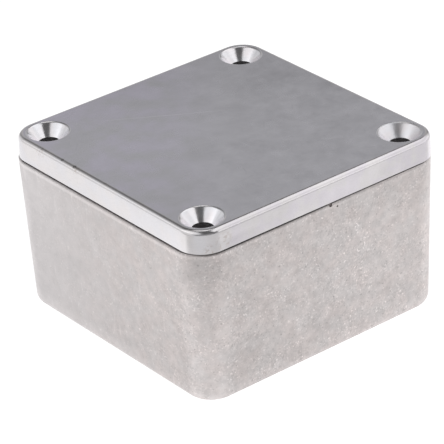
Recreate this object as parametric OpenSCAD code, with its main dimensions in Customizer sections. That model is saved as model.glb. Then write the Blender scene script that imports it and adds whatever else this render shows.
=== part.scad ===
// Small die cast aluminium box: a deep base with four corner pillars and a
// flanged lid that lies on it. Z is up, the origin is the middle of the
// underside, and every length is in millimetres.

/* [Outside] */
// Width and depth of the base at its rim, its widest place
box_w = 50.5; // [44:0.5:80]
// Height of the base, from the underside to the rim
base_h = 27; // [22:0.1:45]
// Corner radius of the base at the rim
base_corner_r = 5.6; // [5:0.1:7]
// Radius along the bottom edge of the base
base_edge_r = 1.7; // [0.5:0.1:2.5]
// Draft of the outer walls, so that the castings leave the die
outer_draft = 2; // [0.5:0.1:3]
// Bevel round the rim's outer edge
rim_bevel = 0.12; // [0.05:0.01:0.3]

/* [Inside] */
// Wall thickness at the rim
wall_t = 2; // [1.5:0.1:2.4]
// Thickness of the floor
floor_t = 2.2; // [1.5:0.1:4]
// Draft of the inner walls
inner_draft = 1.5; // [0.5:0.1:2.5]
// Fillet between the floor and the inner walls
floor_fillet_r = 1.6; // [0.5:0.1:2]

/* [Lid] */
// Width and depth of the lid at its lower edge, its widest place
lid_w = 49.8; // [43:0.1:79.5]
// Height of the lid's outer side
lid_h = 3.85; // [3.2:0.05:6]
// Corner radius of the lid at its lower edge
lid_corner_r = 4.5; // [4:0.1:6]
// Radius along the lid's top edge
lid_edge_r = 0.85; // [0.2:0.05:1]
// Thickness of the lid's plate, inside its thicker border
plate_t = 2.1; // [1.6:0.1:2.6]
// Width of the thicker border round the lid
border_w = 3.2; // [2.8:0.1:4.5]
// Open seam between the border and the rim
seam_gap = 0.15; // [0.05:0.05:0.3]
// How far the loose lid lies off centre, along X
lid_shift_x = 0.05; // [-0.1:0.05:0.1]
// How far the loose lid lies off centre, along Y
lid_shift_y = -0.15; // [-0.15:0.05:0.15]

/* [Locating lip] */
// Height of the lip below the lid's border
lip_h = 1.4; // [0.8:0.1:2.5]
// Thickness of the lip
lip_t = 1.2; // [0.8:0.1:1.5]
// Play between the lip and the inner wall
lip_play = 0.35; // [0.25:0.05:0.5]
// Lead-in bevel at the lip's lower edge
lip_bevel = 0.4; // [0.1:0.1:0.5]

/* [Screw points] */
// Distance between neighbouring screw centres
screw_spacing = 40.1; // [34:0.1:69]
// Clearance hole through the lid
screw_hole_d = 3.5; // [3:0.1:4.2]
// Width of the countersink at the lid's top
countersink_d = 7.35; // [6:0.05:7.5]
// Full angle of the countersink
countersink_angle = 90; // [82:1:100]
// Width of a pillar at its top
pillar_d = 7.8; // [7:0.1:8.4]
// Draft of the pillars
pillar_draft = 1; // [0.5:0.1:2]
// Width of the raised landing on each pillar, which holds the seam open
landing_d = 7; // [5:0.1:7]
// Width of the pads under the lid that land on the pillars
pad_d = 8.6; // [8.5:0.1:9.5]
// Tapping hole down each pillar
tap_hole_d = 2.9; // [2.5:0.1:3.3]
// Depth of the tapping hole
tap_hole_depth = 18; // [10:0.5:18]
// Lead-in bevel at the tapping hole's mouth
tap_bevel = 0.4; // [0.1:0.1:0.6]

/* [Ejector marks] */
// Width of the round marks that the die's ejector pins leave
ejector_d = 4; // [2:0.5:6]
// Depth of the marks
ejector_depth = 0.15; // [0.05:0.05:0.3]
// Distance of each mark from the middle, along X and along Y
ejector_offset = 11; // [6:0.5:14]

/* [Hidden] */
$fn = 96;
// Overshoot of every cut past the face that it opens
cut = 1;
lid_base_z = base_h + seam_gap;
lid_top_z = lid_base_z + lid_h;
screw_r = screw_spacing / 2;
countersink_depth = (countersink_d - screw_hole_d) / 2 / tan(countersink_angle / 2);
pillar_top_r = pillar_d / 2;
pillar_h = base_h - floor_t;
cavity_half = box_w / 2 - wall_t;
cavity_corner_r = base_corner_r - wall_t;
pocket_depth = lid_h - plate_t;
pocket_half = lid_w / 2 - border_w;
pocket_corner_r = max(lid_corner_r - border_w, 1.2);
pocket_edge_r = 0.6;
lip_outer = cavity_half - lip_play;
lip_length = screw_spacing - pillar_d - 2 * lip_t;

// Places a child at each of the four screw centres
module at_screws() {
    for (x = [-1, 1], y = [-1, 1])
        translate([x * screw_r, y * screw_r, 0])
            children();
}

// Places a child at each of the four ejector marks
module at_ejectors() {
    for (x = [-1, 1], y = [-1, 1])
        translate([x * ejector_offset, y * ejector_offset, 0])
            children();
}

// Half section through a drafted wall: narrow at the bottom with a rounded
// edge, and out to the radius wide_r at the top, with an optional bevel there
module wall_section(wide_r, height, draft, edge_r, bevel) {
    narrow_r = wide_r - height * tan(draft);
    arc_x = narrow_r + edge_r * tan(draft) - edge_r / cos(draft);
    polygon([
        [0, 0],
        [arc_x, 0],
        [arc_x, edge_r],
        [arc_x + edge_r * cos(draft), edge_r - edge_r * sin(draft)],
        [wide_r - bevel * tan(draft), height - bevel],
        [wide_r - bevel, height],
        [0, height]
    ]);
    translate([arc_x, edge_r])
        intersection() {
            circle(r = edge_r);
            translate([0, -edge_r])
                square(edge_r);
        }
}

// Square block with rounded corners and drafted sides, its wide end up. The
// corners keep their centres from top to bottom, so that each is a true cone
// with a true round along its narrow edge
module cast_block(half, corner_r, height, draft, edge_r, bevel = 0) {
    centre = half - corner_r;
    translate([-centre, -centre, 0])
        cube([2 * centre, 2 * centre, height]);
    for (turn = [0 : 90 : 270])
        rotate([0, 0, turn]) {
            translate([centre, 0, 0])
                rotate([90, 0, 0])
                    linear_extrude(2 * centre, center = true)
                        wall_section(corner_r, height, draft, edge_r, bevel);
            translate([centre, centre, 0])
                rotate_extrude(angle = 90)
                    wall_section(corner_r, height, draft, edge_r, bevel);
        }
}

// The same block as a cut: it goes on past its wide end with the same draft
module cast_cavity(half, corner_r, depth, draft, edge_r) {
    grow = cut * tan(draft);
    cast_block(half + grow, corner_r + grow, depth + cut, draft, edge_r);
}

// What the cavity leaves of a pillar, which widens a little towards the floor
module pillar() {
    spread = tan(pillar_draft);
    translate([0, 0, -cut])
        cylinder(
            h = pillar_h + 2 * cut,
            r1 = pillar_top_r + (pillar_h + cut) * spread,
            r2 = pillar_top_r - cut * spread
        );
}

// Cored hole for a screw's thread, with a lead-in bevel, as a cut down from z = 0
module tap_hole() {
    tap_r = tap_hole_d / 2;
    translate([0, 0, -tap_hole_depth])
        cylinder(h = tap_hole_depth + cut, r = tap_r);
    translate([0, 0, -tap_bevel])
        cylinder(h = tap_bevel + cut, r1 = tap_r, r2 = tap_r + tap_bevel + cut);
}

// Clearance hole and countersink, as a cut down from z = 0
module countersunk_hole() {
    slope = tan(countersink_angle / 2);
    translate([0, 0, -lid_h - cut])
        cylinder(h = lid_h + 2 * cut, r = screw_hole_d / 2);
    translate([0, 0, -countersink_depth])
        cylinder(
            h = countersink_depth + cut,
            r1 = screw_hole_d / 2,
            r2 = countersink_d / 2 + cut * slope
        );
}

// One straight length of locating lip along Y, its outer face at x = 0
module lip() {
    rotate([90, 0, 0])
        linear_extrude(lip_length, center = true)
            polygon([
                [-lip_t, cut],
                [-lip_t, -lip_h],
                [-lip_bevel, -lip_h],
                [0, lip_bevel - lip_h],
                [0, cut]
            ]);
}

module base() {
    color("silver")
        difference() {
            union() {
                difference() {
                    cast_block(box_w / 2, base_corner_r, base_h, outer_draft,
                        base_edge_r, rim_bevel);
                    translate([0, 0, floor_t])
                        difference() {
                            cast_cavity(cavity_half, cavity_corner_r, base_h - floor_t,
                                inner_draft, floor_fillet_r);
                            at_screws() pillar();
                        }
                }
                translate([0, 0, base_h])
                    at_screws() cylinder(h = seam_gap, d = landing_d);
            }
            translate([0, 0, lid_base_z])
                at_screws() tap_hole();
            translate([0, 0, floor_t - ejector_depth])
                at_ejectors() cylinder(h = ejector_depth + cut, d = ejector_d);
        }
}

module lid() {
    color("lightgray")
        translate([lid_shift_x, lid_shift_y, lid_top_z])
            difference() {
                union() {
                    difference() {
                        mirror([0, 0, 1])
                            cast_block(lid_w / 2, lid_corner_r, lid_h, outer_draft,
                                lid_edge_r);
                        translate([0, 0, -plate_t])
                            mirror([0, 0, 1])
                                cast_cavity(pocket_half, pocket_corner_r, pocket_depth,
                                    inner_draft, pocket_edge_r);
                    }
                    translate([0, 0, -lid_h])
                        at_screws() cylinder(h = pocket_depth + plate_t / 2, d = pad_d);
                    for (turn = [0 : 90 : 270])
                        rotate([0, 0, turn])
                            translate([lip_outer, 0, -lid_h])
                                lip();
                }
                at_screws() countersunk_hole();
                translate([0, 0, -plate_t - cut])
                    at_ejectors() cylinder(h = ejector_depth + cut, d = ejector_d);
            }
}

base();
lid();
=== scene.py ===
from math import cos, pi, radians, sin, tan

import bpy
from mathutils import Matrix, Vector


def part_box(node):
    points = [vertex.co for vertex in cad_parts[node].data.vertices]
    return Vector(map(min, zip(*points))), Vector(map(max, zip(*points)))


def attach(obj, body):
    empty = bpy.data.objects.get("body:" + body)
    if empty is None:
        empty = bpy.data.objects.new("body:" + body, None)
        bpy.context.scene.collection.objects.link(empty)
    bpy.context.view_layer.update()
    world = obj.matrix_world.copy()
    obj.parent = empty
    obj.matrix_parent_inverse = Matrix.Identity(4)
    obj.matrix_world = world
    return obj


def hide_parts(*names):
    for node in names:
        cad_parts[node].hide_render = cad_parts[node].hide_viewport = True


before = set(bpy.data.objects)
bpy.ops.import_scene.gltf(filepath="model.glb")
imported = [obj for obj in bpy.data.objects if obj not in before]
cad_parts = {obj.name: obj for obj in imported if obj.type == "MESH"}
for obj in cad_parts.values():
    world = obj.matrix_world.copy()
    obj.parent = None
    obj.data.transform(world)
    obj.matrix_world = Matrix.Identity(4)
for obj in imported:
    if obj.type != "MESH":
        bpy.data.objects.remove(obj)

bl_info = {
    "name": "Die cast box",
    "version": (1, 0, 0),
    "blender": (4, 5, 0),
    "location": "3D View > Sidebar > Cast Box",
    "description": "Models and finishes a small die cast aluminium box with a screw-down lid",
    "category": "Object",
}

MM = 0.001
TOUCH = 0.01 * MM  # slack when faces are told apart by their place
UP = Vector((0, 0, 1))
FRONTWARDS = Vector((-0.603, -0.798, 0))  # level, from the box past its front corner
RIGHTWARDS = Vector((0.798, -0.603, 0))  # level, across that

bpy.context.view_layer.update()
BASE_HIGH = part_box("base")[1]
LID_LOW, LID_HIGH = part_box("lid")
LID_MIDDLE = ((LID_LOW + LID_HIGH) / 2).xy
LANDING = 0.15 * MM  # how far a pillar's landing stands above the rim
RIM = BASE_HIGH.z - LANDING
SPARE = 1 * MM  # how far a cutting tool reaches past the face it opens
CORNER_STEPS, ROUND_STEPS = 24, 12  # faces across an upright corner and across an edge's round

# Marks of use: places and reaches in millimetres
PITS = (
    ((1.15, -25.12, 26.9), 0.42), ((2.5, -25.26, 26.2), 0.2),
    ((-25.3, 7.4, 21.2), 0.2), ((12.6, -25.0, 14.5), 0.18),
)
# Darker spots over the two pits at the rim: place, reach and how much each darkens them
PIT_DARKENING = (((1.15, -25.1, 26.9), 0.5, 0.6), ((2.5, -25.2, 26.2), 0.35, 0.4))
NICKS = (
    ((-24.2, 6.9, 30.96), 0.2), ((-24.2, 10.2, 30.96), 0.16), ((-24.2, -1.2, 31.0), 0.1),
)
STAINS = (
    ((-22.1, -24.6, 27.6), 1.6), ((-19.6, -24.9, 28.5), 2.3),
    ((-24.4, 15.6, 30.6), 1.8), ((-24.4, 6.2, 30.7), 1.1),
)
# Scratches on the lid's top: start, end and how much each one brightens it
SCRATCHES = (
    ((-15.5, 19.3), (8.6, 3.2), 0.16), ((-0.2, -4.1), (-0.1, -9.0), 0.08),
    ((-3.6, -17.5), (-1.5, -19.1), 0.1), ((-14.1, -4.8), (-11.6, -6.6), 0.08),
    ((-5.3, -11.6), (-6.2, -14.0), -0.12), ((-9.4, -15.5), (-5.1, -15.1), -0.1),
)
# Flat softboxes 1 m from the box: degrees round from the front, degrees up, span sideways
# and span upwards in metres, and glow
SOFTBOXES = (
    ("softbox_right", 100, 0, (-1.26, 1.2), (0.95, 2.9), 0.86),
    ("softbox_right_low", 100, 0, (-0.8, 0.2), (0.03, 0.95), 0.7),
    ("softbox_right_far", 100, 0, (0.2, 0.65), (0.03, 0.95), 0.75),
    ("softbox_right_end", 100, 0, (0.65, 1.05), (0.03, 0.95), 0.48),
    ("softbox_left", -60, 0, (-0.84, 0.84), (0.5, 2.4), 0.67),
    ("softbox_left_far", -60, 0, (-1.15, -0.84), (0.5, 2.4), 0.34),
    ("softbox_left_end", -60, 0, (-1.6, -1.15), (0.5, 2.4), 0.2),
    ("softbox_left_inner", -60, 0, (0.84, 1.1), (0.5, 2.4), 0.42),
    ("softbox_left_edge", -60, 0, (1.1, 1.45), (0.5, 2.4), 0.2),
    ("softbox_top", 180, 76, (-0.22, 0.22), (-0.22, 0.22), 0.8),
)


# ---------------------------------------------------------------- properties


def length(name, description, default):
    """A size in metres, kept from going below nothing."""
    return bpy.props.FloatProperty(
        name=name, description=description, default=default,
        min=0, precision=5, subtype="DISTANCE", unit="LENGTH",
    )


def slant(name, description, degrees):
    """An angle, given in degrees."""
    return bpy.props.FloatProperty(
        name=name, description=description, default=radians(degrees),
        subtype="ANGLE", unit="ROTATION",
    )


def colour(name, description, default):
    """A linear colour."""
    return bpy.props.FloatVectorProperty(
        name=name, description=description, default=default,
        size=3, min=0, max=1, subtype="COLOR",
    )


class BaseSizes(bpy.types.PropertyGroup):
    """Sizes of the base casting."""

    width: length("Width", "Width of the base across its rim", 50.5 * MM)
    rim_height: length("Rim height", "Height of the rim", RIM)
    corner_r: length("Corner radius", "Radius of the upright corners at the rim", 5.6 * MM)
    edge_r: length("Bottom edge radius", "Round along the bottom edge", 1.7 * MM)
    draft: slant("Outer draft", "Taper of the outer walls", 2)
    rim_round: length("Rim round", "Worn round along the rim's outer edge", 0.32 * MM)
    wall: length("Wall", "Thickness of the wall at the rim", 2 * MM)
    floor: length("Floor", "Thickness of the floor", 2.2 * MM)
    inner_draft: slant("Inner draft", "Taper of the inner walls", 1.5)
    fillet_r: length("Floor fillet", "Fillet between the floor and the walls", 1.6 * MM)
    pillar_r: length("Pillar radius", "Radius of a screw pillar at its top", 3.9 * MM)
    pillar_draft: slant("Pillar draft", "Taper of the screw pillars", 1)
    landing_r: length("Landing radius", "Radius of the raised landing on a pillar", 3.5 * MM)
    tap_r: length("Tapped hole radius", "Radius of the hole down a pillar", 1.45 * MM)
    tap_depth: length("Tapped hole depth", "Depth of the hole down a pillar", 18 * MM)
    tap_bevel: length("Tapped hole bevel", "Bevel at the mouth of the hole", 0.4 * MM)


class LidSizes(bpy.types.PropertyGroup):
    """Sizes of the lid casting."""

    width: length("Width", "Width of the lid along its lower edge", 49.8 * MM)
    height: length("Height", "Height of the lid's side", 3.85 * MM)
    corner_r: length("Corner radius", "Radius of the corners along the lower edge", 4.5 * MM)
    draft: slant("Draft", "Taper of the lid's sides", 2)
    edge_r: length("Top edge radius", "Round along the top edge", 0.85 * MM)
    plate: length("Plate", "Thickness of the lid's plate", 2.1 * MM)
    border: length("Border", "Width of the thick border", 3.2 * MM)
    pocket_draft: slant("Pocket draft", "Taper of the pocket under the plate", 1.5)
    pocket_edge_r: length("Pocket fillet", "Fillet around the pocket under the plate", 0.6 * MM)
    lip_depth: length("Lip depth", "How far the locating lips hang down", 1.4 * MM)
    lip: length("Lip thickness", "Thickness of a locating lip", 1.2 * MM)
    lip_reach: length("Lip reach", "Distance of a lip's outer face from the middle", 22.9 * MM)
    lip_length: length("Lip length", "Length of a locating lip", 29.9 * MM)
    lip_bevel: length("Lip bevel", "Lead-in bevel along a lip's lower edge", 0.4 * MM)
    pad_r: length("Pad radius", "Radius of the pads that land on the pillars", 4.3 * MM)
    hole_r: length("Hole radius", "Radius of a screw's clearance hole", 1.75 * MM)
    countersink_r: length("Countersink radius", "Radius of a countersink at the top", 3.675 * MM)
    rim_break: length("Countersink rim", "Width of the small round at its rim", 0.2 * MM)


class SharedSizes(bpy.types.PropertyGroup):
    """Sizes that both castings share."""

    screw_reach: length("Screw reach", "Distance of a screw from each middle line", 20.05 * MM)
    ejector_r: length("Ejector mark radius", "Radius of a die ejector's mark", 2 * MM)
    ejector_depth: length("Ejector mark depth", "Depth of a die ejector's mark", 0.15 * MM)
    ejector_reach: length("Ejector mark reach", "Distance of a mark from each middle line", 11 * MM)


class Finishes(bpy.types.PropertyGroup):
    """Colours of the metal and of the studio."""

    cast: colour("Cast skin", "Tumbled skin of the base", (0.64, 0.598, 0.592))
    lid_side: colour("Lid side", "Satin skin of the lid's sides", (0.85, 0.827, 0.843))
    ground: colour("Ground top", "Ground face of the lid", (0.81, 0.795, 0.86))
    cut: colour("Cut metal", "Turned metal of the countersinks", (0.93, 0.92, 0.94))
    stain: colour("Stain", "Faint brown stains", (0.42, 0.32, 0.25))
    floor: colour("Floor", "Studio floor", (0.38, 0.38, 0.38))


# ---------------------------------------------------------------- hand modelling


def fresh():
    """Leave edit mode and deselect everything."""
    if bpy.context.object and bpy.context.object.mode != "OBJECT":
        bpy.ops.object.mode_set(mode="OBJECT")
    bpy.ops.object.select_all(action="DESELECT")


def take(piece):
    """Select one piece alone and make it active, in object mode."""
    fresh()
    piece.select_set(True)
    bpy.context.view_layer.objects.active = piece


def settle(piece, name):
    """Name a new primitive and work its place into its mesh."""
    piece.name = piece.data.name = name
    bpy.ops.object.transform_apply(location=True, rotation=True, scale=True)
    return piece


def choose_edges(piece, test):
    """Select the edges whose ends both pass a test of their place, and stay in edit mode."""
    take(piece)
    bpy.ops.object.mode_set(mode="EDIT")
    bpy.ops.mesh.select_mode(type="EDGE")
    bpy.ops.mesh.select_all(action="DESELECT")
    bpy.ops.object.mode_set(mode="OBJECT")
    places = [vertex.co for vertex in piece.data.vertices]
    for edge in piece.data.edges:
        edge.select = all(test(places[end]) for end in edge.vertices)
    bpy.ops.object.mode_set(mode="EDIT")


def choose_rim():
    """In edit mode, select the open edge of the active piece."""
    bpy.ops.mesh.select_mode(type="EDGE")
    bpy.ops.mesh.select_all(action="DESELECT")
    bpy.ops.mesh.select_non_manifold(
        extend=False, use_wire=False, use_boundary=True, use_multi_face=False,
        use_non_contiguous=False, use_verts=False,
    )


def close_up(piece):
    """Cap the open end of a piece and point all its faces outwards."""
    choose_rim()
    bpy.ops.mesh.edge_face_add()
    bpy.ops.mesh.select_all(action="SELECT")
    bpy.ops.mesh.normals_make_consistent(inside=False)
    bpy.ops.object.mode_set(mode="OBJECT")
    return piece


def level(z):
    """A test for whether a place is at one height, to within a hair."""
    hair = 0.002 * MM
    return lambda place: abs(place.z - z) < hair


def cast_block(name, half, corner_r, wide_z, narrow_z, draft, edge_r, middle=(0, 0)):
    """Block with rounded corners whose sides taper to a far face with a rounded edge."""
    fresh()
    bpy.ops.mesh.primitive_plane_add(size=2 * half, location=(*middle, wide_z))
    block = settle(bpy.context.object, name)
    bpy.ops.object.mode_set(mode="EDIT")
    bpy.ops.mesh.select_all(action="SELECT")
    bpy.ops.mesh.bevel(offset=corner_r, segments=CORNER_STEPS, affect="VERTICES")
    if narrow_z < wide_z:
        bpy.ops.mesh.flip_normals()
    bpy.ops.mesh.select_mode(type="FACE")
    bpy.ops.mesh.select_all(action="SELECT")
    tall = abs(narrow_z - wide_z)
    bpy.ops.mesh.inset(thickness=tall * tan(draft), depth=tall)
    choose_edges(block, level(narrow_z))
    setback = edge_r * tan(pi / 4 - draft / 2)
    bpy.ops.mesh.bevel(offset=setback, segments=ROUND_STEPS, affect="EDGES")
    return close_up(block)


def turned(name, profile, sides=64):
    """Round tool or boss on the Z axis, from (radius, height) steps up its outline."""
    fresh()
    first_r, first_z = profile[0]
    bpy.ops.mesh.primitive_circle_add(
        vertices=sides, radius=first_r, fill_type="NGON", location=(0, 0, first_z),
    )
    boss = settle(bpy.context.object, name)
    bpy.ops.object.mode_set(mode="EDIT")
    bpy.ops.mesh.select_mode(type="FACE")
    bpy.ops.mesh.select_all(action="SELECT")
    before_r, before_z = first_r, first_z
    for r, z in profile[1:]:
        bpy.ops.mesh.extrude_region_move(
            TRANSFORM_OT_translate={"value": (0, 0, z - before_z)},
        )
        bpy.ops.transform.resize(
            value=(r / before_r, r / before_r, 1), center_override=(0, 0, z),
        )
        before_r, before_z = r, z
    bpy.ops.object.mode_set(mode="OBJECT")
    take(boss)
    bpy.ops.object.mode_set(mode="EDIT")
    return close_up(boss)


def copies(first, places):
    """Copies of a tool, each with its own mesh, moved in the mesh and joined into one."""
    made = []
    for place in places:
        take(first)
        bpy.ops.object.duplicate(linked=False)
        copy = bpy.context.object
        copy.location = (*place, 0)
        bpy.ops.object.transform_apply(location=True, rotation=False, scale=False)
        made.append(copy)
    scrap(first)
    take(made[0])
    for copy in made:
        copy.select_set(True)
    bpy.ops.object.join()
    return bpy.context.object


def scrap(tool):
    """Delete a used tool and its mesh."""
    mesh = tool.data
    bpy.data.objects.remove(tool)
    bpy.data.meshes.remove(mesh)


def combine(piece, tool, operation):
    """Add a tool to a piece, or cut the piece with it, and delete the tool."""
    take(piece)
    bpy.ops.object.modifier_add(type="BOOLEAN")
    step = piece.modifiers[-1]
    step.operation, step.object, step.solver = operation, tool, "EXACT"
    bpy.ops.object.modifier_apply(modifier=step.name)
    scrap(tool)


def dent(place, reach):
    """Rough little ball, given in millimetres, that leaves a pit where it is cut away."""
    fresh()
    side_shading = (1.3, 0.9, 0.8)
    bpy.ops.mesh.primitive_ico_sphere_add(
        subdivisions=2, radius=reach * MM, location=Vector(place) * MM,
        rotation=place, scale=side_shading,
    )
    return settle(bpy.context.object, "dent")


def corners(reach, middle=(0, 0)):
    """The four places at one distance from both lines through a middle."""
    return [(middle[0] + x * reach, middle[1] + y * reach) for x in (-1, 1) for y in (-1, 1)]


def ejector_marks(shared, bottom_z, mouth_z, middle=(0, 0)):
    """Cutters for the four shallow round marks that ejector pins leave in a face."""
    flare = 0.02 * MM
    steps = [(shared.ejector_r, bottom_z), (shared.ejector_r + flare, mouth_z)]
    upwards = sorted(steps, key=lambda step: step[1])
    return copies(turned("ejector_mark", upwards), corners(shared.ejector_reach, middle))


def smooth(piece):
    """Merge doubles, smooth the rounds and keep the flats flat."""
    merge, sharp, flat_weight = 0.0004 * MM, radians(24), 60
    take(piece)
    bpy.ops.object.mode_set(mode="EDIT")
    bpy.ops.mesh.select_all(action="SELECT")
    bpy.ops.mesh.remove_doubles(threshold=merge)
    bpy.ops.mesh.normals_make_consistent(inside=False)
    bpy.ops.object.mode_set(mode="OBJECT")
    bpy.ops.object.shade_smooth_by_angle(angle=sharp)
    bpy.ops.object.modifier_add(type="WEIGHTED_NORMAL")
    step = piece.modifiers[-1]
    step.keep_sharp, step.weight = True, flat_weight
    bpy.ops.object.modifier_apply(modifier=step.name)


def finish_faces(piece, finishes, sort):
    """Give the piece its finishes; sort numbers a face's finish from its place and normal."""
    for made in finishes:
        piece.data.materials.append(made)
    for face in piece.data.polygons:
        face.material_index = sort(face.center, face.normal)


# ---------------------------------------------------------------- finishes


class Value:
    """One socket of a node tree; arithmetic on it adds Math nodes."""

    def __init__(self, bench, socket):
        self.bench, self.socket = bench, socket

    def maths(self, operation, *inputs):
        return self.bench.node(
            "ShaderNodeMath", {"operation": operation}, dict(enumerate(inputs)),
        )

    def __add__(self, other):
        return self.maths("ADD", self, other)

    __radd__ = __add__

    def __sub__(self, other):
        return self.maths("SUBTRACT", self, other)

    def __rsub__(self, other):
        return self.maths("SUBTRACT", other, self)

    def __mul__(self, other):
        return self.maths("MULTIPLY", self, other)

    __rmul__ = __mul__

    def __abs__(self):
        return self.maths("ABSOLUTE", self)

    def at_least(self, other):
        return self.maths("MAXIMUM", self, other)

    def swing(self, amount):
        """Noise from 0 to 1 as a change that is nothing on average."""
        return (self - 0.5) * amount


class Bench:
    """Sets out the nodes of one tree."""

    def __init__(self, tree):
        self.tree = tree
        tree.nodes.clear()

    def node(self, kind, settings, inputs, output=0):
        """Add a node, settings first, then its sockets' values or links; give one output."""
        made = self.tree.nodes.new(kind)
        for name, setting in settings.items():
            setattr(made, name, setting)
        for key, given in inputs.items():
            socket = self.find(made.inputs, key)
            if isinstance(given, Value):
                self.tree.links.new(given.socket, socket)
            else:
                socket.default_value = given
        return Value(self, self.find(made.outputs, output)) if made.outputs else None

    @staticmethod
    def find(sockets, key):
        """A socket by its number, its identifier or its name."""
        if isinstance(key, int):
            return sockets[key]
        for socket in sockets:
            if socket.identifier == key:
                return socket
        return sockets[key]

    def between(self, value, low, high, to_low=0, to_high=1):
        """Map a range onto another with a soft start and end, held at both."""
        return self.node(
            "ShaderNodeMapRange", {"interpolation_type": "SMOOTHSTEP"},
            {"Value": value, "From Min": low, "From Max": high,
             "To Min": to_low, "To Max": to_high},
        )

    def along(self, place, way):
        """How far a place lies along one direction."""
        return self.node(
            "ShaderNodeVectorMath", {"operation": "DOT_PRODUCT"}, {0: place, 1: way}, "Value",
        )


class Finish(Bench):
    """A material on object coordinates."""

    def __init__(self, name):
        self.material = bpy.data.materials.new(name)
        self.material.use_nodes = True
        super().__init__(self.material.node_tree)
        self.place = self.node("ShaderNodeTexCoord", {}, {}, "Object")

    def noise(self, size, detail=2, rough=0.5, place=None, seed=0):
        """Noise whose lumps are about one size in metres, from 0 to 1."""
        return self.node(
            "ShaderNodeTexNoise", {"noise_dimensions": "4D"},
            {"Vector": place or self.place, "W": seed, "Scale": 1 / size,
             "Detail": detail, "Roughness": rough}, "Fac",
        )

    def stretched(self, factors, angle=0):
        """Object coordinates turned about Z and scaled: a small factor draws a pattern out."""
        turned_place = self.node(
            "ShaderNodeMapping", {}, {"Vector": self.place, "Rotation": (0, 0, angle)},
        )
        return self.node(
            "ShaderNodeVectorMath", {"operation": "MULTIPLY"}, {0: turned_place, 1: factors},
        )

    def mix(self, factor, first, second):
        """Colour that goes from the first to the second as the factor goes up."""
        def full(given):
            return given if isinstance(given, Value) else (*given, 1)
        return self.node(
            "ShaderNodeMix", {"data_type": "RGBA"},
            {"Factor_Float": factor, "A_Color": full(first), "B_Color": full(second)},
            "Result_Color",
        )

    def brightened(self, tone, amount):
        """A colour times a number that changes over the surface."""
        return self.node(
            "ShaderNodeVectorMath", {"operation": "SCALE"}, {0: tone, "Scale": amount},
        )

    def axis(self, name):
        """One of the object coordinates as a number."""
        return self.node("ShaderNodeSeparateXYZ", {}, {0: self.place}, name)

    def lumps(self, height, strength, depth):
        """Normal of a surface with this height pattern, depth in metres."""
        return self.node(
            "ShaderNodeBump", {}, {"Height": height, "Strength": strength, "Distance": depth},
        )

    def spot(self, place, reach):
        """Mask of a soft round spot, given in millimetres: 1 at its middle, 0 at its reach."""
        away = self.node(
            "ShaderNodeVectorMath", {"operation": "DISTANCE"},
            {0: self.place, 1: Vector(place) * MM}, "Value",
        )
        return self.between(away, reach * MM, 0)

    def scratch(self, start, end):
        """Mask of a fine line on a level face, given in millimetres, fading at both ends."""
        start, end = Vector((*start, 0)) * MM, Vector((*end, 0)) * MM
        length, way = (end - start).length, (end - start).normalized()
        across = Vector((-way.y, way.x, 0))
        width, fade = 0.13 * MM, 0.35
        wander = self.noise(5 * MM, detail=1, seed=40).swing(0.5 * MM)
        run = self.along(self.place, way) - way.dot(start)
        off = self.along(self.place, across) - across.dot(start) + wander
        start_fade = self.between(run, 0, fade * length)
        end_fade = self.between(run, length, (1 - fade) * length)
        return self.between(abs(off), width, 0) * (start_fade * end_fade)

    def nicked(self):
        """Mask of darker spots round the nicks along the lid's edge."""
        spread = 3
        nick_darkening = sum(self.spot(place, spread * reach) for place, reach in NICKS)
        return self.between(nick_darkening, 0.2, 0.6)

    def wear(self, sockets):
        """Finish the material with these values or links on its shader's own sockets."""
        shader = self.node("ShaderNodeBsdfPrincipled", {}, sockets, "BSDF")
        self.node("ShaderNodeOutputMaterial", {}, {"Surface": shader})
        return self.material


def tinted(tone, *parts):
    """A colour with its red, green and blue parts scaled."""
    return tuple(min(1, part * scale) for part, scale in zip(tone, parts))


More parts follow.
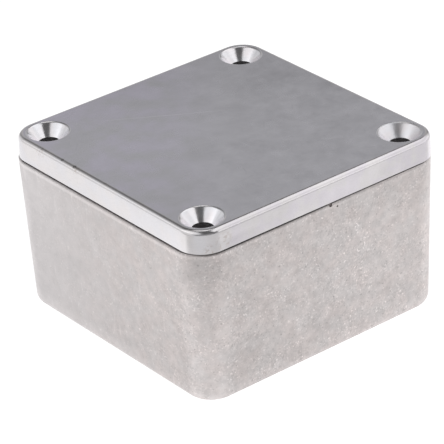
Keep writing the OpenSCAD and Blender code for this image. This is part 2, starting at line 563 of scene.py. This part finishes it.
def cast_skin(colours):
    """Tumbled skin of a casting: fine grain, pale flecks, dark pits and faint blotches, with
    painted highlights and shade.
    """
    skin = Finish("tumbled_cast_aluminium")
    rise = skin.axis("Z")
    below_rim = RIM - rise
    leftwards = skin.along(skin.place, (-1, 1, 0))  # 0 at the front corner
    left = skin.between(leftwards, 0, 5 * MM)
    upper = skin.between(rise, 12 * MM, 25 * MM)

    grain = skin.noise(0.36 * MM, rough=0.6, seed=5)
    cloud = skin.noise(1.1 * MM, seed=3)
    blotch = skin.noise(3.6 * MM)
    cluster = skin.between(skin.noise(3 * MM, seed=26), 0.4, 0.62, 0.55, 1.3)
    fleck = skin.between(skin.noise(0.38 * MM, detail=1, seed=9), 0.63, 0.69)
    pit = skin.between(skin.noise(0.4 * MM, detail=1, seed=12), 0.34, 0.28)
    busy = skin.between(leftwards, 38 * MM, -10 * MM, 0.36, 1)
    speckle = busy * (grain.swing(0.6) * cluster + cloud.swing(0.45)
                      + fleck * cluster * 0.26 - pit * 0.24) + blotch.swing(0.2)

    # painted highlight: a lighter band along the rim's round just under the seam, partly a rubbed,
    # worn-bright edge; strongest on the left and near the front corner
    rim_wear_and_highlight = skin.between(below_rim, 1 * MM, 0.6 * MM) * skin.between(
        below_rim, 0.15 * MM, 0.38 * MM)
    edge = rim_wear_and_highlight * (0.04 + left * 0.06 + skin.between(leftwards, -16 * MM, -2 * MM) * 0.08)
    run = skin.noise(0.8 * MM, detail=1, place=skin.stretched((1, 1, 0.12)), seed=31)
    runs = left * skin.between(run, 0.67, 0.74) * 0.07
    # painted highlight: the upright corners lighter below 18 mm, fading out by 24 mm
    corner_highlight = (skin.between(abs(skin.axis("X")), 19 * MM, 21.5 * MM)
              * skin.between(abs(skin.axis("Y")), 19 * MM, 21.5 * MM)
              * (0.13 - skin.between(rise, 18 * MM, 24 * MM, 0, 0.13)))
    # painted shade and highlight: lighter up the left wall and along the bottom edge, darker low on
    # the right wall and towards the bottom
    painted_shading = (skin.between(leftwards, -8 * MM, -44 * MM, -0.035, 0.05)
              - (1 - left) * (1 - upper) * 0.05
              + left * upper * 0.05 + skin.between(leftwards, 25 * MM, 48 * MM, 0, 0.08) * upper
              + skin.between(leftwards, 20 * MM, 46 * MM, 0, 0.06)
              + skin.between(rise, 3.5 * MM, 1 * MM, 0, 0.09)
              - skin.between(rise, 20 * MM, 0, 0, 0.07))

    # painted shade in the seam: the top of the rim under the lid's edge darkened on the right wall,
    # most near the front corner
    seam_shade = (skin.between(below_rim, 0.16 * MM, 0.05 * MM)
             * skin.between(leftwards, 8 * MM, -8 * MM, 0, 0.65)
             * skin.between(leftwards, -10 * MM, -45 * MM, 1, 0.1))
    pocked = sum(skin.spot(place, reach) * strength for place, reach, strength in PIT_DARKENING)
    shine = (1 + speckle + edge + runs + corner_highlight + painted_shading) * (1 - seam_shade) * (1 - pocked)

    metal = skin.mix(
        skin.between(skin.noise(2.6 * MM, detail=1, seed=21), 0.3, 0.7),
        tinted(colours.cast, 0.99, 1.003, 1.006), tinted(colours.cast, 1.01, 0.998, 0.992),
    )
    metal = skin.mix(
        skin.between(leftwards, 8 * MM, 50 * MM), metal, tinted(colours.cast, 0.98, 1.005, 1.02),
    )
    return skin.wear({
        "Base Color": skin.brightened(metal, shine),
        "Metallic": 1.0,
        "Roughness": skin.between(grain, 0.2, 0.8, 0.4, 0.52),
        "Normal": skin.lumps(grain * 0.6 + fleck * 0.3 - pit * 0.5, 0.3, 0.05 * MM),
    })


def moulded_inside(colours):
    """Dull inside of a casting, with faint lines where it left the die."""
    skin = Finish("moulded_aluminium")
    grain = skin.noise(0.5 * MM, seed=2)
    cloud = skin.noise(3 * MM, detail=3, seed=11)
    drawn = skin.noise(0.9 * MM, place=skin.stretched((1, 1, 0.08)), seed=14)
    shine = 0.86 + cloud.swing(0.3) + drawn.swing(0.2) + grain.swing(0.25)
    return skin.wear({
        "Base Color": skin.brightened(colours.cast, shine),
        "Metallic": 1.0,
        "Roughness": skin.between(cloud, 0.3, 0.7, 0.46, 0.58),
        "Normal": skin.lumps(grain * 0.5 + drawn, 0.25, 0.05 * MM),
    })


def satin_side(colours):
    """Satin skin of the lid's sides: faint tints and clouds, stains at two corners, painted shade
    on the right side.
    """
    side = Finish("satin_cast_aluminium")
    across = side.axis("X")
    right = side.between(side.along(side.place, (1, -1, 0)), 0, 8 * MM)

    fine = side.noise(0.5 * MM, seed=4)
    cloud = side.noise(2.6 * MM, detail=3, seed=6)
    fleck = side.between(side.noise(0.5 * MM, detail=1, seed=15), 0.3, 0.24)
    # painted shade on the right side: darker low down towards the front corner, a little lighter
    # round x = 4 mm, darker further off
    side_shading = (side.between(across, -9 * MM, -20 * MM, 0, 0.15)
              * side.between(side.axis("Z"), 29.2 * MM, 28.2 * MM)
              + side.between(abs(across - 4 * MM), 5 * MM, 14 * MM, -0.02, 0.045))
    shine = (1 + cloud.swing(0.1 + right * 0.1) + fine.swing(0.06) - fleck * 0.06
             - right * side_shading - side.nicked() * 0.5)

    left_metal = side.mix(
        side.between(side.noise(3 * MM, detail=1, seed=17), 0.35, 0.65),
        tinted(colours.lid_side, 0.99, 0.997, 1.012), tinted(colours.lid_side, 1.01, 1, 0.988),
    )
    right_metal = side.mix(
        side.between(side.noise(2.4 * MM, seed=33), 0.4, 0.6),
        tinted(colours.lid_side, 1.01, 1.0, 0.995), tinted(colours.lid_side, 0.995, 0.975, 1.01),
    )
    metal = side.brightened(side.mix(right, left_metal, right_metal), shine)
    stained = sum(side.spot(place, reach) for place, reach in STAINS) * side.between(
        side.noise(0.45 * MM, seed=8), 0.5, 0.62)
    return side.wear({
        "Base Color": side.mix(stained * 0.4, metal, colours.stain),
        "Metallic": 1.0,
        "Roughness": side.between(cloud, 0.3, 0.7, 0.16, 0.22),
        "Normal": side.lumps(cloud, 0.1, 0.03 * MM),
    })


def ground_top(colours):
    """Ground top of the lid: faint smudges, fine streaks, a few longer scratches and painted shade
    towards the back.
    """
    top = Finish("ground_aluminium")
    right = top.along(top.place, RIGHTWARDS)
    back = top.along(top.place, -FRONTWARDS)

    smudge = top.noise(4.5 * MM, detail=3, seed=7)
    mottle = top.noise(1.5 * MM, rough=0.6, seed=2)
    worn = top.between(right, -6 * MM, 12 * MM, 0.16, 0.34)
    streak = top.noise(0.5 * MM, place=top.stretched((0.05, 1, 1), radians(8)))
    hair = top.noise(0.6 * MM, detail=1, place=top.stretched((0.06, 1, 1), radians(34)), seed=3)
    nick = top.noise(0.6 * MM, detail=1, place=top.stretched((0.12, 1, 1), radians(-50)), seed=6)
    marks = (mottle.swing(worn) + smudge.swing(0.32) + streak.swing(0.05)
             + top.between(hair, 0.7, 0.78) * 0.05 - top.between(nick, 0.3, 0.22) * 0.05)
    # painted shade: the top darker towards the back and slightly towards the right
    painted_shading = (top.between(right, -24 * MM, 22 * MM, 0.035, -0.035)
              - top.between(back, -6 * MM, 28 * MM, 0, 0.15))
    shine = 1 + marks + painted_shading - top.nicked() * 0.3
    for start, end, strength in SCRATCHES:
        shine = shine + top.scratch(start, end) * strength

    metal = top.mix(
        top.between(right, 2 * MM, -14 * MM) * top.between(smudge, 0.35, 0.6),
        tinted(colours.ground, 0.998, 1.002, 0.99), tinted(colours.ground, 1.0, 0.98, 1.035),
    )
    return top.wear({
        "Base Color": top.brightened(metal, shine),
        "Metallic": 1.0,
        "Roughness": top.between(mottle, 0.2, 0.8, 0.23, 0.28),
    })


def turned_cone(colours):
    """Bright turned metal of the countersinks: tool rings, faint tints, duller on one side."""
    cone = Finish("turned_aluminium")
    rings = cone.noise(0.3 * MM, place=cone.stretched((0.03, 0.03, 1)))
    cloud = cone.noise(1.6 * MM, seed=5)
    right = cone.along(cone.place, (1, -0.6, 0))
    metal = cone.mix(
        cone.between(cone.noise(2.2 * MM, detail=1, seed=9), 0.35, 0.65),
        tinted(colours.cut, 0.985, 0.99, 1.01), tinted(colours.cut, 1.01, 0.985, 0.99),
    )
    dull = cone.between(right, 5 * MM, 30 * MM, 0, 0.16)
    return cone.wear({
        "Base Color": cone.brightened(metal, 1 + rings.swing(0.08) + cloud.swing(0.16)),
        "Metallic": 1.0,
        "Roughness": cone.between(cloud, 0.3, 0.7, 0.14, 0.24) + dull,
        "Normal": cone.lumps(rings, 0.15, 0.02 * MM),
    })


def drilled_wall(colours):
    """Dull wall of a drilled hole, painted dark for the shade down the hole."""
    wall = Finish("drilled_aluminium")
    rings = wall.noise(0.15 * MM, detail=1, place=wall.stretched((0.05, 0.05, 1)))
    return wall.wear({
        # painted shade: the hole's wall given a dark colour
        "Base Color": wall.brightened(colours.cut, 0.32 + rings * 0.13),
        "Metallic": 1.0,
        "Roughness": 0.5,
        "Normal": wall.lumps(rings, 0.4, 0.03 * MM),
    })


# ---------------------------------------------------------------- the pieces


class OBJECT_OT_cast_box_base(bpy.types.Operator):
    """Model the base: drafted walls, cavity, screw pillars and tapped holes"""

    bl_idname = "object.cast_box_base"
    bl_label = "Base casting"
    bl_options = {"REGISTER", "UNDO"}

    def execute(self, context):
        size = context.scene.cast_box_base
        shared = context.scene.cast_box_shared
        screws = corners(shared.screw_reach)
        body = cast_block(
            "base_casting", size.width / 2, size.corner_r, size.rim_height, 0, size.draft,
            size.edge_r,
        )
        choose_edges(body, level(size.rim_height))
        bpy.ops.mesh.bevel(offset=size.rim_round, segments=5, affect="EDGES")
        combine(body, self.cavity(size, screws), "DIFFERENCE")
        combine(body, self.landings(size, screws), "UNION")
        combine(body, self.tapped_holes(size, screws), "DIFFERENCE")
        marks = ejector_marks(shared, size.floor - shared.ejector_depth, size.floor + SPARE)
        combine(body, marks, "DIFFERENCE")
        for place, reach in PITS:
            combine(body, dent(place, reach), "DIFFERENCE")
        smooth(body)
        self.finish(body, size, context.scene.cast_box_finishes)
        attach(body, "root")
        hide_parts("base")
        return {"FINISHED"}

    @staticmethod
    def cavity(size, screws):
        """Core of the cavity, with the tapered screw pillars cut out of it."""
        rim = size.rim_height
        grow = SPARE * tan(size.inner_draft)
        core = cast_block(
            "cavity_core", size.width / 2 - size.wall + grow, size.corner_r - size.wall + grow,
            rim + SPARE, size.floor, size.inner_draft, size.fillet_r,
        )
        spread = tan(size.pillar_draft)
        pillar = turned("pillar", [
            (size.pillar_r + rim * spread, 0),
            (size.pillar_r - 2 * SPARE * spread, rim + 2 * SPARE),
        ])
        combine(core, copies(pillar, screws), "DIFFERENCE")
        return core

    @staticmethod
    def landings(size, screws):
        """Raised landings on the pillars, each with a tiny bevel."""
        top = size.rim_height + LANDING
        sunk, bevel = 0.5 * MM, 0.03 * MM
        return copies(turned("landing", [
            (size.landing_r, size.rim_height - sunk),
            (size.landing_r, top - bevel),
            (size.landing_r - bevel, top),
        ]), screws)

    @staticmethod
    def tapped_holes(size, screws):
        """Cutters for the holes down the pillars, with a lead-in bevel."""
        mouth = size.rim_height + LANDING
        return copies(turned("tapped_hole", [
            (size.tap_r, mouth - size.tap_depth),
            (size.tap_r, mouth - size.tap_bevel),
            (size.tap_r + size.tap_bevel, mouth),
            (size.tap_r + size.tap_bevel, mouth + SPARE),
        ], sides=48), screws)

    @staticmethod
    def finish(body, size, colours):
        """Tumbled skin outside and over the rim, moulded skin in the cavity."""
        outside, inside = range(2)
        straight = size.width / 2 - size.corner_r
        in_wall = size.corner_r - 0.75 * size.wall  # a line within the wall parts the two

        def sort(place, _):
            past = Vector((abs(place.x) - straight, abs(place.y) - straight))
            reach = past.length if min(past) > 0 else max(past)
            hollow = size.floor / 2 < place.z < size.rim_height - TOUCH
            return inside if hollow and reach < in_wall else outside

        finish_faces(body, [cast_skin(colours), moulded_inside(colours)], sort)


class OBJECT_OT_cast_box_lid(bpy.types.Operator):
    """Model the lid: drafted sides, ground top, pocket, pads, lips and countersinks"""

    bl_idname = "object.cast_box_lid"
    bl_label = "Lid casting"
    bl_options = {"REGISTER", "UNDO"}

    def execute(self, context):
        size = context.scene.cast_box_lid
        shared = context.scene.cast_box_shared
        screws = corners(shared.screw_reach, LID_MIDDLE)
        top = LID_HIGH.z
        foot = top - size.height
        pocket_top = top - size.plate
        body = cast_block(
            "lid_casting", size.width / 2, size.corner_r, foot, top, size.draft,
            size.edge_r, LID_MIDDLE,
        )
        combine(body, self.pocket(size, foot, pocket_top, screws), "DIFFERENCE")
        for side in range(4):
            combine(body, self.lip(size, foot, side), "UNION")
        combine(body, self.screw_holes(size, foot, top, screws), "DIFFERENCE")
        marks = ejector_marks(
            shared, pocket_top + shared.ejector_depth, pocket_top - 2 * SPARE, LID_MIDDLE,
        )
        combine(body, marks, "DIFFERENCE")
        for place, reach in NICKS:
            combine(body, dent(place, reach), "DIFFERENCE")
        smooth(body)
        self.finish(body, size, foot, screws, context.scene.cast_box_finishes)
        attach(body, "root")
        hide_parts("lid")
        return {"FINISHED"}

    @staticmethod
    def pocket(size, foot, pocket_top, screws):
        """Core of the pocket under the plate, with the pads over the pillars cut out of it."""
        below = 2 * SPARE
        grow = below * tan(size.pocket_draft)
        least_corner = 1.2 * MM
        core = cast_block(
            "pocket_core", size.width / 2 - size.border + grow,
            max(size.corner_r - size.border, least_corner) + grow,
            foot - below, pocket_top, size.pocket_draft, size.pocket_edge_r, LID_MIDDLE,
        )
        pad = turned("pad", [(size.pad_r, foot - 2 * below), (size.pad_r, LID_HIGH.z)])
        combine(core, copies(pad, screws), "DIFFERENCE")
        return core

    @staticmethod
    def lip(size, foot, side):
        """One straight locating lip, bevelled along its lower edges, turned to its side."""
        root, overlap, inner_bevel = 0.6 * MM, 0.05 * MM, 0.15 * MM
        outer = size.lip_reach
        inner = outer - size.lip + overlap
        low = foot - size.lip_depth
        fresh()
        bpy.ops.mesh.primitive_cube_add(
            size=1,
            location=((outer + inner) / 2, 0, foot + (root - size.lip_depth) / 2),
            scale=(outer - inner, size.lip_length, root + size.lip_depth),
        )
        bar = settle(bpy.context.object, "lip")
        choose_edges(bar, lambda place: place.z < low + TOUCH and place.x > outer - TOUCH)
        bpy.ops.mesh.bevel(offset=size.lip_bevel, segments=4, affect="EDGES")
        choose_edges(bar, lambda place: place.z < low + TOUCH and place.x < inner + TOUCH)
        bpy.ops.mesh.bevel(offset=inner_bevel, segments=3, affect="EDGES")
        bpy.ops.object.mode_set(mode="OBJECT")
        bar.rotation_euler = (0, 0, side * pi / 2)
        bar.location = (*LID_MIDDLE, 0)
        take(bar)
        bpy.ops.object.transform_apply(location=True, rotation=True, scale=True)
        return bar

    @staticmethod
    def screw_holes(size, foot, top, screws):
        """Cutters for the clearance holes and their countersinks of 90 degrees."""
        below = 2 * SPARE
        depth = size.countersink_r - size.hole_r
        bend = size.rim_break / (1 - sin(pi / 4))
        last = radians(10)
        rim = [
            (size.countersink_r - bend * (sin(slope) - sin(last)),
             top - bend * (cos(last) - cos(slope)))
            for slope in (radians(angle) for angle in (45, 37, 28, 19, 10))
        ]
        return copies(turned("countersink_cutter", [
            (size.hole_r, foot - below),
            (size.hole_r, top - depth),
            *rim,
            (size.countersink_r + below, top + 0.1 * below),
        ], sides=96), screws)

    @staticmethod
    def finish(body, size, foot, screws, colours):
        """Ground top, satin sides, bright cones, dull inside and drilled holes."""
        satin, ground, cone, inside, drilled = range(5)

        def sort(place, way):
            near = min((place.xy - Vector(screw)).length for screw in screws)
            if way.z > 0.999 and place.z > LID_HIGH.z - TOUCH:
                return ground
            if near < size.hole_r + TOUCH and abs(way.z) < 0.1:
                return drilled
            if near < size.countersink_r and foot < place.z < LID_HIGH.z and way.z > -0.5:
                return cone
            outward = place.xy.dot(way.xy) > 0
            return satin if outward and place.z > foot + TOUCH else inside

        finish_faces(body, [
            satin_side(colours), ground_top(colours), turned_cone(colours),
            moulded_inside(colours), drilled_wall(colours),
        ], sort)


class OBJECT_OT_cast_box_studio(bpy.types.Operator):
    """Set up the pale floor, the soft lights and the camera"""

    bl_idname = "object.cast_box_studio"
    bl_label = "Studio"
    bl_options = {"REGISTER", "UNDO"}

    def execute(self, context):
        self.floor(context.scene.cast_box_finishes)
        self.surround(context.scene)
        self.softboxes(context.scene)
        self.camera(context.scene)
        context.scene.view_settings.view_transform = "Standard"
        return {"FINISHED"}

    @staticmethod
    def floor(colours):
        """Wide pale floor that glows a little, less so outside the pool of light."""
        fresh()
        below = 0.02 * MM
        bpy.ops.mesh.primitive_grid_add(
            x_subdivisions=8, y_subdivisions=8, size=6, location=(0, 0, -below),
        )
        ground = settle(bpy.context.object, "studio_floor")
        paper = Finish("studio_paper")
        front = paper.along(paper.place, FRONTWARDS)
        right = paper.along(paper.place, RIGHTWARDS)
        dim_front = (paper.between(front, 46 * MM, 68 * MM, 0, 0.5)
                     * paper.between(right, 64 * MM, 0, 0.7, 1))
        dim_right = paper.between(right + front * 0.5, 60 * MM, 86 * MM, 0, 0.38)
        dim_left = paper.between(right, -36 * MM, -80 * MM, 0, 0.2)
        glow = (1 - dim_front - dim_right - dim_left).at_least(0.42)
        ground.data.materials.append(paper.wear({
            "Base Color": (*colours.floor, 1),
            "Roughness": 0.9,
            "Specular IOR Level": 0.0,
            "Emission Color": paper.brightened((1, 1, 1), glow),
            "Emission Strength": 0.9,
        }))

    @staticmethod
    def surround(scene):
        """Soft grey room: a pale left wall, fainter walls right, back and front, dark elsewhere."""
        scene.world = bpy.data.worlds.new("studio_room")
        scene.world.use_nodes = True
        room = Bench(scene.world.node_tree)
        way = room.node("ShaderNodeTexCoord", {}, {}, "Generated")
        rise = room.node("ShaderNodeSeparateXYZ", {}, {0: way}, "Z")
        right = room.along(way, RIGHTWARDS)
        back = room.along(way, -FRONTWARDS)
        left_wall = room.between(right, -0.3, -0.75) * room.between(rise, 0.1, 1.1, 0.8, 0)
        right_wall = room.between(right, 0.55, 0.85) * room.between(rise, 0, 0.5, 0.3, 0)
        back_wall = (room.between(back, 0.3, 0.75) * room.between(rise, 0.72, 0.48)
                     * room.between(abs(right), 0.26, 0.5, 0.42, 0.1))
        front_wall = room.between(back, -0.5, -0.85) * room.between(rise, 0.62, 0.3) * 0.16
        high_left = room.between(rise, 0.8, 0.88) * room.between(right, -0.1, -0.35) * 0.16
        walls = left_wall.at_least(right_wall).at_least(back_wall).at_least(front_wall)
        everywhere = 0.13
        glow = walls + high_left + everywhere
        sky = room.node("ShaderNodeBackground", {}, {"Strength": glow})
        room.node("ShaderNodeOutputWorld", {}, {"Surface": sky})

    @staticmethod
    def softboxes(scene):
        """Softboxes left and right of the front, a dark gap between them, and one high up."""
        aim = Vector((0, 0, 0.02))
        front = radians(-127.1)  # the front's direction round Z
        for name, around, rise, sideways, upwards, glow in SOFTBOXES:
            turn, up = front + radians(around), radians(rise)
            way = Vector((cos(turn) * cos(up), sin(turn) * cos(up), sin(up)))
            side = Vector((-sin(turn), cos(turn), 0))
            above = way.cross(side)
            wide, tall = sideways[1] - sideways[0], upwards[1] - upwards[0]
            light = bpy.data.lights.new(name, "AREA")
            light.shape, light.size, light.size_y = "RECTANGLE", wide, tall
            light.energy = glow * pi * wide * tall
            lamp = bpy.data.objects.new(name, light)
            place = aim + way + side * sum(sideways) / 2 + above * sum(upwards) / 2
            facing = Matrix((side, above, way)).transposed().to_4x4()
            lamp.matrix_world = Matrix.Translation(place) @ facing
            scene.collection.objects.link(lamp)

    @staticmethod
    def camera(scene):
        """Long lens above the box, looking down at its front corner, slightly rolled."""
        around, up, roll = -0.6471, 0.4996, -0.0610
        aim = Vector((-1.2665, -0.3049, 15.0298)) * MM
        distance = 464.4476 * MM
        back = Vector((sin(around) * cos(up), -cos(around) * cos(up), sin(up)))
        right = (-back).cross(UP).normalized()
        above = right.cross(-back)
        side = right * cos(roll) + above * sin(roll)
        rise = above * cos(roll) - right * sin(roll)
        lens = bpy.data.cameras.new("camera")
        lens.sensor_width, lens.lens = 36, 231.673  # millimetres
        lens.clip_start, lens.clip_end = 0.01, 20
        eye = bpy.data.objects.new("camera", lens)
        facing = Matrix((side, rise, back)).transposed().to_4x4()
        eye.matrix_world = Matrix.Translation(aim + back * distance) @ facing
        scene.collection.objects.link(eye)
        scene.camera = eye


class VIEW3D_PT_cast_box(bpy.types.Panel):
    """Lists the pieces of the box and their sizes"""

    bl_label = "Cast Box"
    bl_idname = "VIEW3D_PT_cast_box"
    bl_space_type = "VIEW_3D"
    bl_region_type = "UI"
    bl_category = "Cast Box"

    def draw(self, context):
        scene = context.scene
        for operator, group in (
            (OBJECT_OT_cast_box_base, scene.cast_box_base),
            (OBJECT_OT_cast_box_lid, scene.cast_box_lid),
            (None, scene.cast_box_shared),
            (OBJECT_OT_cast_box_studio, scene.cast_box_finishes),
        ):
            box = self.layout.box()
            if operator:
                box.operator(operator.bl_idname)
            for name in group.bl_rna.properties.keys():
                if name not in ("rna_type", "name"):
                    box.prop(group, name)


GROUPS = {
    "cast_box_base": BaseSizes,
    "cast_box_lid": LidSizes,
    "cast_box_shared": SharedSizes,
    "cast_box_finishes": Finishes,
}
CLASSES = (
    *GROUPS.values(),
    OBJECT_OT_cast_box_base,
    OBJECT_OT_cast_box_lid,
    OBJECT_OT_cast_box_studio,
    VIEW3D_PT_cast_box,
)


def register():
    """Make the operators, the sizes and the panel known."""
    for made in CLASSES:
        bpy.utils.register_class(made)
    for name, group in GROUPS.items():
        setattr(bpy.types.Scene, name, bpy.props.PointerProperty(type=group))


def unregister():
    """Take the operators, the sizes and the panel away again."""
    for name in GROUPS:
        delattr(bpy.types.Scene, name)
    for made in reversed(CLASSES):
        bpy.utils.unregister_class(made)


def main():
    """Build the whole box and its studio."""
    register()
    bpy.ops.object.cast_box_studio()
    bpy.ops.object.cast_box_base()
    bpy.ops.object.cast_box_lid()


if __name__ == "__main__":
    main()
